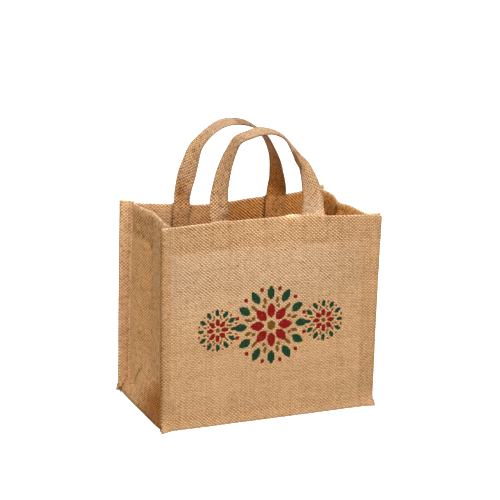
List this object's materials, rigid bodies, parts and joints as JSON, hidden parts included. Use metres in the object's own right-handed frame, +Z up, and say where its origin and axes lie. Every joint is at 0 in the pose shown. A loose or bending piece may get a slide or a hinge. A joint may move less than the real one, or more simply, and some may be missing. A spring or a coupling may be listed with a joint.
{
  "type": "jute tote bag",
  "caption": "Open-topped jute shopping bag that stands by itself, with box sides, outward seams and a carrying strap sewn inside each long edge.",
  "frame": {"origin": "on the floor, under the middle of the whole bag", "axes": "+X runs to the right along the front panel, +Y from the front panel to the back panel, +Z up to the mouth and the straps"},
  "size_m": [0.3046, 0.1806, 0.3751],
  "materials": {
    "panel_jute": "coarse plain weave, matte",
    "gusset_jute": "coarse plain weave, matte",
    "strap_jute": "folded coarse plain weave, matte"
  },
  "bodies": {
    "root": {"front_panel": "panel_jute", "back_panel": "panel_jute", "gusset": "gusset_jute", "front_handle": "strap_jute", "back_handle": "strap_jute"}
  },
  "joints": []
}
